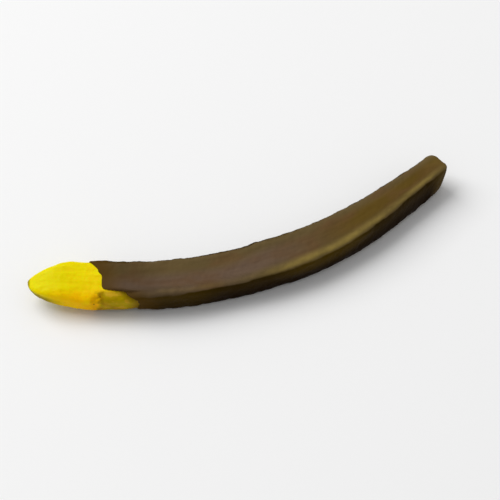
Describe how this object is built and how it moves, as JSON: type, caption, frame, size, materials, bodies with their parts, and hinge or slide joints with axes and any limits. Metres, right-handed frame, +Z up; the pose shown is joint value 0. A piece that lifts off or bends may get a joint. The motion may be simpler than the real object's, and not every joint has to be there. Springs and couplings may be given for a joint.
{
  "type": "chocolate covered lemon peel strip",
  "caption": "Long, gently bent strip of candied lemon peel, dipped in dark chocolate up to a bare, glossy yellow tip.",
  "frame": {"origin": "the middle of the strip's box in plan, on the surface that it lies on", "axes": "+X runs from the bare tip towards the covered end, +Y towards the inner side of the bend, +Z up"},
  "size_m": [0.0962, 0.0198, 0.0079],
  "materials": {
    "candied_peel": "sticky satin gloss, slightly translucent",
    "dark_chocolate": "satin, faintly uneven as it set"
  },
  "bodies": {
    "root": {"lemon_peel": "candied_peel", "chocolate_coat": "dark_chocolate"}
  },
  "joints": []
}
